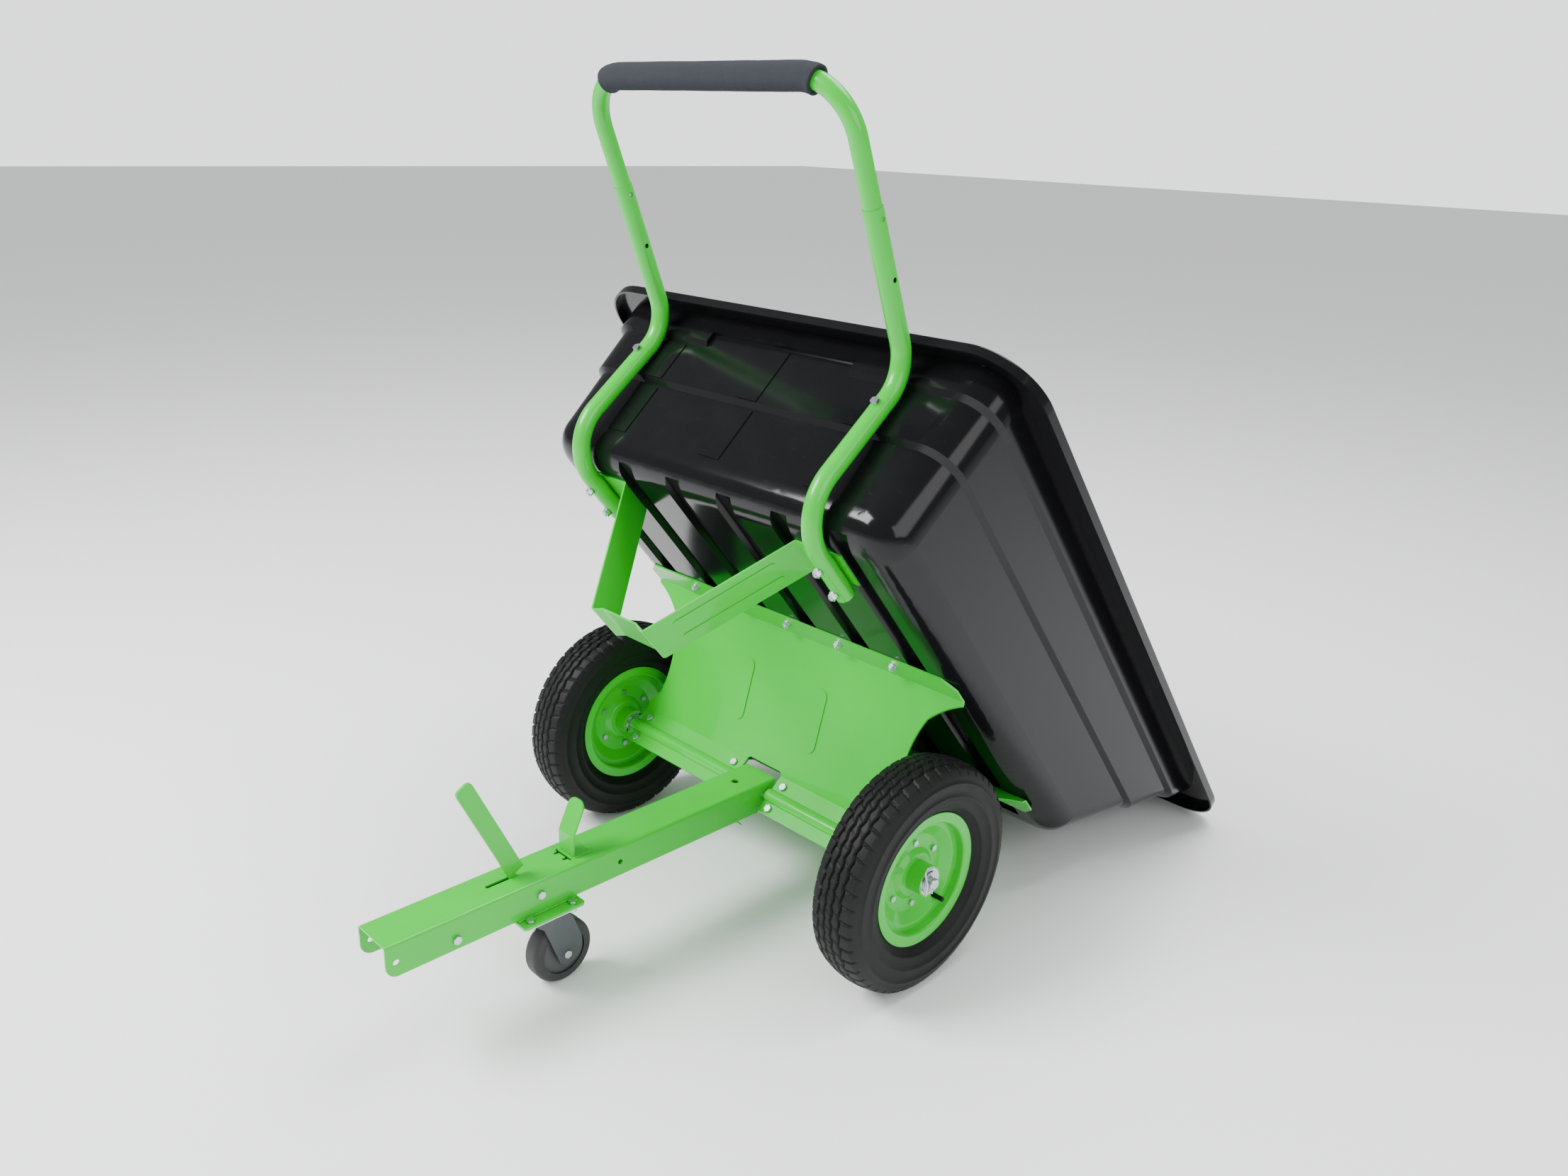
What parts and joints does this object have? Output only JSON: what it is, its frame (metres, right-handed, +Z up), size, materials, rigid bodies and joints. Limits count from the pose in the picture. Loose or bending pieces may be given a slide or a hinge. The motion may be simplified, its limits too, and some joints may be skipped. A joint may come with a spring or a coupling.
{
  "type": "tow behind cart",
  "caption": "Tow-behind garden cart: plastic tub that tips on its axle, steel drawbar with hitch clevis, pneumatic wheels, swivel caster and telescoping push handle.",
  "frame": {"origin": "on the floor, midway between the drawbar's nose and the tub's rearmost edge, on the cart's centre line", "axes": "+X to the cart's left side, -Y forwards along the drawbar to the hitch, +Z up; the tub is modelled tipped back"},
  "size_m": [1, 1.6676, 1.4493],
  "materials": {
    "green_paint": "gloss powder coat",
    "tub_plastic": "satin moulded",
    "tyre_rubber": "matte",
    "grip_foam": "wrinkled foam",
    "valve_rubber": "matte",
    "seal_rubber": "matte",
    "caster_core_plastic": "moulded",
    "fork_steel": "dark satin",
    "hub_steel": "gloss powder coat",
    "zinc": "zinc plated"
  },
  "bodies": {
    "chassis": {"drawbar": "green_paint", "inner_channel": "green_paint", "tail_bracket": "green_paint", "catch_hook": "green_paint", "drawbar_bolts": "zinc", "drawbar_nuts": "zinc", "lever_spring": "zinc", "axle_rod": "zinc", "axle_washers": "zinc", "axle_clips": "zinc", "caster_mount": "green_paint", "caster_top_plate": "zinc", "caster_bolts": "zinc", "caster_nuts": "zinc", "kingpin": "zinc"},
    "lever": {"latch_lever": "green_paint"},
    "caster_swivel_fork": {"caster_fork": "fork_steel", "fork_bolt": "zinc", "fork_nut": "zinc"},
    "caster_wheel": {"caster_core": "caster_core_plastic", "caster_tyre": "tyre_rubber"},
    "left_wheel": {"left_tyre": "tyre_rubber", "left_outer_rim": "green_paint", "left_inner_rim": "green_paint", "left_rim_bolts": "zinc", "left_hub": "hub_steel", "left_bearing_rings": "zinc", "left_bearing_balls": "zinc", "left_bearing_seals": "seal_rubber", "left_valve": "valve_rubber"},
    "right_wheel": {"right_tyre": "tyre_rubber", "right_outer_rim": "green_paint", "right_inner_rim": "green_paint", "right_rim_bolts": "zinc", "right_hub": "hub_steel", "right_bearing_rings": "zinc", "right_bearing_balls": "zinc", "right_bearing_seals": "seal_rubber", "right_valve": "valve_rubber"},
    "tub_frame": {"tub": "tub_plastic", "front_saddle": "green_paint", "rear_saddle": "green_paint", "clamp_bolts": "zinc", "clamp_nuts": "zinc", "flange_bolts": "zinc", "flange_nuts": "zinc", "left_lower_tube": "green_paint", "right_lower_tube": "green_paint", "tube_bolts": "zinc", "tube_nuts": "zinc", "wall_bolts": "zinc", "wall_nuts": "zinc", "latch_bracket": "green_paint"},
    "handle": {"upper_handle": "green_paint", "foam_grip": "grip_foam", "button_springs": "zinc"},
    "left_button": {"left_snap_button": "zinc"},
    "right_button": {"right_snap_button": "zinc"}
  },
  "joints": [
    {"name": "tub_tip", "type": "hinge", "parent": "chassis", "child": "tub_frame", "pos_m": [0, -0.07179, 0.203], "axis": [1, 0, 0], "range_deg": [0, 51]},
    {"name": "lever_pull", "type": "hinge", "parent": "chassis", "child": "lever", "pos_m": [0, -0.5658, 0.203], "axis": [1, 0, 0], "range_deg": [0, 24], "stiffness_Nm_per_rad": 1, "springref_deg": -34.38, "deforming": ["lever_spring"]},
    {"name": "caster_swivel", "type": "hinge", "parent": "chassis", "child": "caster_swivel_fork", "pos_m": [0, -0.5528, 0.159], "axis": [0, 0, 1], "continuous": true},
    {"name": "caster_wheel_spin", "type": "hinge", "parent": "caster_swivel_fork", "child": "caster_wheel", "pos_m": [0, -0.50979, 0.057], "axis": [1, 0, 0], "continuous": true},
    {"name": "left_wheel_spin", "type": "hinge", "parent": "chassis", "child": "left_wheel", "pos_m": [0.391, -0.07179, 0.203], "axis": [1, 0, 0], "continuous": true},
    {"name": "right_wheel_spin", "type": "hinge", "parent": "chassis", "child": "right_wheel", "pos_m": [-0.391, -0.07179, 0.203], "axis": [1, 0, 0], "continuous": true},
    {"name": "handle_slide", "type": "slide", "parent": "tub_frame", "child": "handle", "axis": [0, -0.3665, 0.9304], "range_m": [-0.092, 0]},
    {"name": "left_button_press", "type": "slide", "parent": "handle", "child": "left_button", "axis": [1, 0, 0], "range_m": [-0.0026, 0]},
    {"name": "right_button_press", "type": "slide", "parent": "handle", "child": "right_button", "axis": [-1, 0, 0], "range_m": [-0.0026, 0]}
  ]
}
